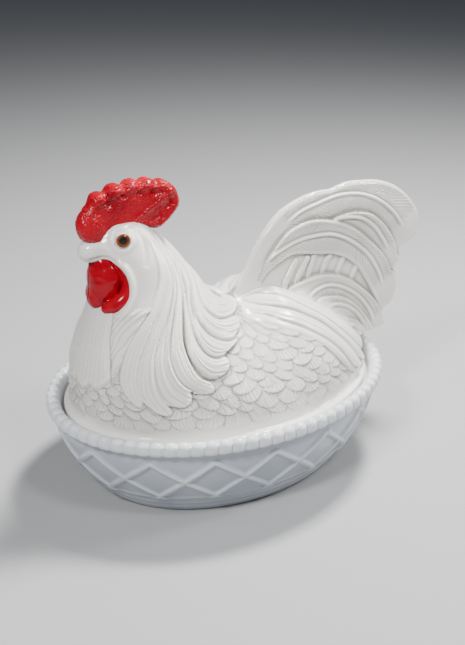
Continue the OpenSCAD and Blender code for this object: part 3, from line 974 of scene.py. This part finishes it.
# How far the inside stands in from the wall's outside, at its top and at its foot, and its heights.
RIM_TO_WALL, INSIDE_INSET = 5.5, 6.1
INSIDE_HEIGHTS = np.linspace(45.0, 10.5, 18)
FLOOR_CORNER = [(1.4, 9.0), (2.4, 7.8), (4.0, 6.9), (6.5, FLOOR_TOP)]

# Outside, top and inside of the rim down to the lid's ledge: inset, height and share of the beads' depth.
RIM_PROFILE = [
    (4.6, 46.9, 0), (3.0, 47.1, 0.1), (1.7, 47.7, 0.3), (1.0, 48.6, 0.5), (0.75, 49.6, 0.7),
    (0.7, 50.8, 0.9),
    (0.85, 51.9, 1), (1.1, 53.0, 1), (1.9, 53.8, 1), (2.8, 54.2, 1), (3.8, 54.35, 0.95), (4.8, 54.2, 0.7),
    (5.8, 53.8, 0.35), (6.7, 53.1, 0.1), (7.4, 52.2, 0), (8.0, 51.0, 0), (8.35, 49.4, 0), (8.5, 47.8, 0),
    (8.7, 46.8, 0), (9.2, 46.5, 0), (11.8, 46.5, 0), (12.4, 46.2, 0),
]


def wall_halves(height):
    """Half the wall's length and width at a height: it flares from the foot and stands up at the top."""
    swell = np.sin(np.pi / 2 * np.clip(height / WALL_TOP, 0, 1))
    return [foot + (rim - RIM_TO_WALL - foot) * swell for foot, rim in ((FOOT_A, RIM_A), (FOOT_B, RIM_B))]


def lattice(turn_part, height):
    """How far the crossing ribs stand out, for a place round the wall and a height."""
    run = (LATTICE_TOP - height) / (LATTICE_TOP - LATTICE_LOW)
    out = 0.0
    pitch = 2 * np.pi * 80.0 / DIAMONDS
    slope = math.cos(math.atan2(pitch, LATTICE_TOP - LATTICE_LOW))
    for side in (-1, 1):
        off = turn_part - side * run
        off = (off - np.round(off)) * pitch * slope
        out = np.maximum(out, smooth_step(RIB_WIDTH / 2 + 0.3, 0.7, np.abs(off)))
    ends = smooth_step(LATTICE_TOP + 1.2, LATTICE_TOP - 0.6, height) * smooth_step(12.5, 14.5, height)
    return RIB_HEIGHT * out * ends


def make_dish():
    """The whole dish as one closed grid: foot, lattice wall, beaded rim, ledge, inside and floor."""
    columns = BEADS * COLUMNS_PER_BEAD
    fine = np.linspace(-np.pi, np.pi, 8001)
    steps = np.hypot(RIM_A * np.diff(np.cos(fine)), RIM_B * np.diff(np.sin(fine)))
    arc = np.concatenate([[0], np.cumsum(steps)])
    round_part = np.arange(columns) / columns
    angle = np.interp(round_part * arc[-1], arc, fine)
    bead = round_part * BEADS % 1.0
    pillow = np.sqrt(np.maximum(1 - (2 * bead - 1) ** 2, 0)) - 0.8
    rows, raised = [], []

    # rise is painted light and shade for the glass's colour, kept in the raised attribute.
    def add_row(a, b, z, outward=0.0, rise=0.0):
        raised.append(np.broadcast_to(rise, angle.shape))
        rows.append(np.stack([(a + outward) * np.cos(angle), (b + outward) * np.sin(angle),
                              np.broadcast_to(z, angle.shape)], axis=1))

    for share in (0.3, 0.6, 0.85, 0.97):
        add_row(FOOT_A * share, FOOT_B * share, 0.0)
    for height in np.concatenate([[0.0, 0.35, 0.8], np.arange(1.5, WALL_TOP, 0.75)]):
        outward = lattice(round_part * DIAMONDS - LATTICE_TURN, height)
        outward = outward + sum(rise * bump_line(height - at, width) for at, rise, width in FOOT_RINGS)
        soft_foot = -FOOT_ROUND * (1 - min(height / FOOT_ROUND, 1.0)) ** 2
        # Painted shade: the outer wall is painted darker than the rim, and its panels darker than the ribs
        # between them.
        add_row(*wall_halves(height), height, outward + soft_foot, 0.3 * outward - 0.45)
    for k, (inset, height, share) in enumerate(RIM_PROFILE):
        before, after = RIM_PROFILE[max(k - 1, 0)], RIM_PROFILE[min(k + 1, len(RIM_PROFILE) - 1)]
        run = math.hypot(after[0] - before[0], after[1] - before[1])
        out_way, up_way = (after[1] - before[1]) / run, (after[0] - before[0]) / run
        swell = BEAD_DEPTH * share * pillow
        # Painted light: the rim is painted lighter, most on the beads' crowns, with painted shade in the
        # gaps between beads.
        add_row(RIM_A - inset, RIM_B - inset, height + swell * up_way, swell * out_way, 0.45 + 0.15 * swell)
    for height in INSIDE_HEIGHTS:
        add_row(*wall_halves(height), height, -INSIDE_INSET)
    for inset, height in FLOOR_CORNER:
        add_row(FOOT_A, FOOT_B, height, -inset)
    for share in (0.75, 0.5, 0.25):
        add_row(FOOT_A * share, FOOT_B * share, FLOOR_TOP)
    points = np.concatenate(rows + [np.array([[0, 0, 0.0], [0, 0, FLOOR_TOP]])])
    quads = []
    here = np.arange(columns)
    beside = (here + 1) % columns
    for k in range(len(rows) - 1):
        low, high = k * columns, (k + 1) * columns
        quads.append(np.stack([low + here, low + beside, high + beside, high + here], axis=1))
    first, last = 0, (len(rows) - 1) * columns
    under, over = len(points) - 2, len(points) - 1
    pairs = here[::2]
    for centre, ring in ((under, first), (over, last)):
        fan = np.stack([ring + pairs, np.full(len(pairs), centre), ring + (pairs + 2) % columns,
                        ring + (pairs + 1) % columns], axis=1)
        quads.append(fan if centre == under else fan[:, ::-1])
    dish = make_object("nest_glass", points, np.concatenate(quads))
    # Each row's painted light and shade, for the glass's colour.
    add_attribute(dish.data, "raised", np.concatenate(raised + [np.zeros(2)]))
    return dish


# ---------------------------------------------------------------- materials


def new_material(name):
    """A node material with its Principled shader."""
    material = bpy.data.materials.new(name)
    material.use_nodes = True
    nodes = material.node_tree.nodes
    return material, nodes, material.node_tree.links, nodes["Principled BSDF"]


def noise_node(nodes, links, scale, detail=3.0, roughness=0.5):
    """Noise in the object's own coordinates."""
    place = nodes.new("ShaderNodeTexCoord")
    noise = nodes.new("ShaderNodeTexNoise")
    noise.inputs["Scale"].default_value = scale
    noise.inputs["Detail"].default_value = detail
    noise.inputs["Roughness"].default_value = roughness
    links.new(place.outputs["Object"], noise.inputs["Vector"])
    return noise


def spread(nodes, links, source, low, high, from_low=0.0, from_high=1.0):
    """A socket's value mapped from one range onto another."""
    ranged = nodes.new("ShaderNodeMapRange")
    for name, value in (("From Min", from_low), ("From Max", from_high), ("To Min", low), ("To Max", high)):
        ranged.inputs[name].default_value = value
    links.new(source, ranged.inputs["Value"])
    return ranged.outputs["Result"]


def mix_colours(nodes, links, factor, first, second):
    """Two colours mixed by a socket. Either may be a socket of its own."""
    mix = nodes.new("ShaderNodeMix")
    mix.data_type = "RGBA"
    links.new(factor, mix.inputs["Factor"])
    for socket, colour in ((mix.inputs["A"], first), (mix.inputs["B"], second)):
        if isinstance(colour, tuple):
            socket.default_value = (*colour, 1)
        else:
            links.new(colour, socket)
    return mix.outputs["Result"]


def maths(nodes, links, operation, *inputs):
    """One step of arithmetic on sockets and numbers."""
    node = nodes.new("ShaderNodeMath")
    node.operation = operation
    for socket, value in zip(node.inputs, inputs):
        if isinstance(value, (int, float)):
            socket.default_value = value
        else:
            links.new(value, socket)
    return node.outputs["Value"]


def raise_bump(nodes, links, shader, height, distance, strength=1.0, below=None):
    """Bump on the shader from a height socket, over an earlier bump if one is given."""
    bump = nodes.new("ShaderNodeBump")
    bump.inputs["Strength"].default_value = strength
    bump.inputs["Distance"].default_value = distance
    links.new(height, bump.inputs["Height"])
    if below:
        links.new(below, bump.inputs["Normal"])
    links.new(bump.outputs["Normal"], shader.inputs["Normal"])
    return bump.outputs["Normal"]


def milk_glass(name, bright, shade, barbs):
    """Opal white pressed glass: a faint cloudiness, polished skin, and fine engraved barbs where asked. Its
    colour is painted from the raised attribute: painted shade in grooves, painted light on crests.
    """
    material, nodes, links, shader = new_material(name)
    raised = nodes.new("ShaderNodeAttribute")
    raised.attribute_name = "raised"
    cloud = noise_node(nodes, links, 28.0)
    cloudy = spread(nodes, links, cloud.outputs["Fac"], -0.12, 0.12, 0.3, 0.7)
    # Painted shade and light: low points are mixed towards the shade colour, high points towards the bright
    # one.
    painted_shade_and_light = spread(nodes, links, raised.outputs["Fac"], 0.0, 1.0, -0.65, 0.35)
    factor = maths(nodes, links, "ADD", painted_shade_and_light, cloudy)
    links.new(mix_colours(nodes, links, factor, shade, bright), shader.inputs["Base Color"])
    skin = noise_node(nodes, links, 160.0, 4.0)
    links.new(spread(nodes, links, skin.outputs["Fac"], 0.10, 0.20), shader.inputs["Roughness"])
    shader.inputs["IOR"].default_value = 1.5
    shader.inputs["Subsurface Weight"].default_value = 0.12
    shader.inputs["Subsurface Radius"].default_value = (1.0, 0.9, 0.75)
    shader.inputs["Subsurface Scale"].default_value = 0.0025
    ripple = noise_node(nodes, links, 90.0, 2.0)
    normal = raise_bump(nodes, links, shader, ripple.outputs["Fac"], 0.0003, 0.5)
    if barbs:
        phase, depth = (nodes.new("ShaderNodeAttribute") for _ in range(2))
        phase.attribute_name, depth.attribute_name = "barb", "barb_depth"
        turned = maths(nodes, links, "MULTIPLY", phase.outputs["Fac"], 2 * math.pi)
        wave = maths(nodes, links, "SINE", turned)
        height = maths(nodes, links, "MULTIPLY", wave, depth.outputs["Fac"])
        raise_bump(nodes, links, shader, height, 0.00016, 0.9, normal)
    return material


def grained(name, scale, detail, roughness, colours=None, reach=(0.0, 1.0), sharp=0.5):
    """A material whose roughness, and colour where two are given, follow one noise. Returns that too."""
    material, nodes, links, shader = new_material(name)
    grain = noise_node(nodes, links, scale, detail, sharp).outputs["Fac"]
    if colours:
        factor = spread(nodes, links, grain, 0.0, 1.0, *reach)
        links.new(mix_colours(nodes, links, factor, *colours), shader.inputs["Base Color"])
    links.new(spread(nodes, links, grain, *roughness), shader.inputs["Roughness"])
    return material, nodes, links, shader, grain


def red_enamel(name, pebbled):
    """Glossy red enamel, brushed on: deeper where it is thick, with fine specks on the comb's skin."""
    roughness = (0.14, 0.26) if pebbled else (0.08, 0.20)
    colours = (0.22, 0.0003, 0.007), (0.44, 0.001, 0.013)
    material, nodes, links, shader, _ = grained(name, 55.0, 4.0, roughness, colours, (0.3, 0.7), 0.6)
    shader.inputs["Specular IOR Level"].default_value = 0.25
    if pebbled:
        place = nodes.new("ShaderNodeTexCoord")
        specks = nodes.new("ShaderNodeTexVoronoi")
        specks.inputs["Scale"].default_value = 950
        links.new(place.outputs["Object"], specks.inputs["Vector"])
        raise_bump(nodes, links, shader, specks.outputs["Distance"], 0.0004, 0.6)
    else:
        ripple = noise_node(nodes, links, 200.0, 2.0)
        raise_bump(nodes, links, shader, ripple.outputs["Fac"], 0.0002, 0.6)
    return material


def clear_glass():
    """The eye's clear dome: all but invisible, apart from the lights in it."""
    material, _, _, shader, _ = grained("clear_glass", 300.0, 3.0, (0.02, 0.08))
    shader.inputs["Base Color"].default_value = (0.02, 0.01, 0.005, 1)
    shader.inputs["Alpha"].default_value = 0.2
    shader.inputs["Coat Weight"].default_value = 1.0
    shader.inputs["Coat Roughness"].default_value = 0.03
    return material


def amber_glass():
    """The iris: amber glass with fine streaks."""
    colours = (0.20, 0.025, 0.004), (0.58, 0.11, 0.016)
    material, _, _, shader, _ = grained("amber_glass", 1400.0, 3.0, (0.15, 0.3), colours, (0.3, 0.7))
    shader.inputs["Coat Weight"].default_value = 0.5
    return material


def black_glass():
    """The pupil."""
    colours = (0.002, 0.002, 0.002), (0.008, 0.006, 0.005)
    return grained("black_glass", 700.0, 3.0, (0.08, 0.16), colours)[0]


def cement():
    """Pale setting cement."""
    colours = (0.55, 0.44, 0.30), (0.74, 0.66, 0.52)
    material, nodes, links, shader, grain = grained("cement", 1800.0, 5.0, (0.55, 0.8), colours)
    raise_bump(nodes, links, shader, grain, 0.0002, 0.6)
    return material


def finish(obj, material, body, slot, *nodes):
    """Dresses a piece, hangs it on its body, and hides the frame's parts that it stands for."""
    obj.data.materials.clear()
    obj.data.materials.append(material)
    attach(obj, body)
    if nodes:
        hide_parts(*nodes)


# ---------------------------------------------------------------- camera, floor and light

CAMERA_AZIMUTH, CAMERA_ELEVATION, CAMERA_ROLL = -29.1, 24.9, -0.65
CAMERA_DISTANCE = 0.562
CAMERA_AIM = np.array([0.0093, 0.0, 0.0814])
CAMERA_LENS = 55.8


def make_camera():
    """The camera at the photograph's viewing angle."""
    azimuth, elevation = math.radians(CAMERA_AZIMUTH), math.radians(CAMERA_ELEVATION)
    back = np.array([
        math.sin(azimuth) * math.cos(elevation),
        -math.cos(azimuth) * math.cos(elevation),
        math.sin(elevation),
    ])
    data = bpy.data.cameras.new("camera")
    data.lens = CAMERA_LENS
    data.sensor_width = 36
    data.clip_start = 0.01
    camera = bpy.data.objects.new("camera", data)
    bpy.context.scene.collection.objects.link(camera)
    camera.location = CAMERA_AIM + back * CAMERA_DISTANCE
    camera.rotation_mode = "XYZ"
    turn = Matrix.Rotation(azimuth, 4, "Z") @ Matrix.Rotation(math.pi / 2 - elevation, 4, "X")
    camera.rotation_euler = (turn @ Matrix.Rotation(math.radians(CAMERA_ROLL), 4, "Z")).to_euler()
    bpy.context.scene.camera = camera


def area_light(name, place, aim, size, power, colour=(1, 1, 1)):
    """A soft rectangular light."""
    data = bpy.data.lights.new(name, "AREA")
    data.shape = "RECTANGLE"
    data.size, data.size_y = size
    data.energy = power
    data.color = colour
    lamp = bpy.data.objects.new(name, data)
    bpy.context.scene.collection.objects.link(lamp)
    lamp.location = place
    direction = Vector(aim) - Vector(place)
    lamp.rotation_euler = direction.to_track_quat("-Z", "Y").to_euler()


def make_stage():
    """A plain pale floor, and soft lights round the object."""
    bpy.ops.mesh.primitive_plane_add(size=6)
    floor = bpy.context.object
    floor.name = "floor"
    material, _, _, shader = new_material("floor")
    shader.inputs["Base Color"].default_value = (0.36, 0.365, 0.375, 1)
    shader.inputs["Roughness"].default_value = 0.8
    floor.data.materials.append(material)
    world = bpy.data.worlds.new("world")
    bpy.context.scene.world = world
    world.use_nodes = True
    sky = world.node_tree.nodes["Background"]
    sky.inputs["Color"].default_value = (0.8, 0.87, 1.0, 1)
    sky.inputs["Strength"].default_value = 0.12
    area_light("key", (0.3, 0.1, 0.75), (0, 0, 0.08), (0.14, 0.14), 16, (1, 0.985, 0.955))
    area_light("right", (0.7, -0.3, 0.5), (0, 0, 0.09), (0.1, 0.3), 4.5, (1, 0.98, 0.95))
    area_light("left", (-0.55, -0.35, 0.72), (0, 0, 0.1), (0.15, 0.15), 7.5, (1, 0.995, 0.985))
    area_light("front", (0.1, -0.55, 0.8), (0, 0, 0.1), (0.14, 0.14), 3, (1, 0.99, 0.97))


# ---------------------------------------------------------------- making it all

make_camera()
make_stage()

# Each milk glass mixes its bright colour, painted light on crests, with a shade colour, painted shade in
# grooves.
LID_GLASS = milk_glass("milk_glass_lid", (0.955, 0.943, 0.912), (0.46, 0.435, 0.39), True)
# The dish's copy of the same milk glass is painted darker and bluer: painted shade and a painted bluish
# reflection.
DISH_GLASS_IN_SHADE = milk_glass("milk_glass_dish_in_shade", (0.66, 0.68, 0.71), (0.37, 0.41, 0.47), False)
COMB_ENAMEL = red_enamel("red_enamel_comb", True)
WATTLE_ENAMEL = red_enamel("red_enamel_wattles", False)

finish(make_dish(), DISH_GLASS_IN_SHADE, "dish", "milk_glass", "nest_dish")
finish(make_lid(), LID_GLASS, "lid", "milk_glass", "rooster_lid")
finish(make_comb(), COMB_ENAMEL, "lid", "red_enamel", "comb")
for side, word in ((-1, "left"), (1, "right")):
    finish(make_wattle(f"wattle_{word}_enamel", side), WATTLE_ENAMEL, "lid", "red_enamel", f"wattle_{word}")

EYE_PARTS = [
    ("cement", CEMENT_PROFILE, cement(), "cement"),
    ("iris", IRIS_PROFILE, amber_glass(), "amber_glass"),
    ("pupil", PUPIL_PROFILE, black_glass(), "black_glass"),
    ("glass", dome_profile(), clear_glass(), "clear_glass"),
]
for side, word in ((-1, "left"), (1, "right")):
    for part, profile, material, slot in EYE_PARTS:
        piece = turn(f"{word}_eye_{part}", profile, side)
        finish(piece, material, "lid", slot, f"eye_{word}_{part}")
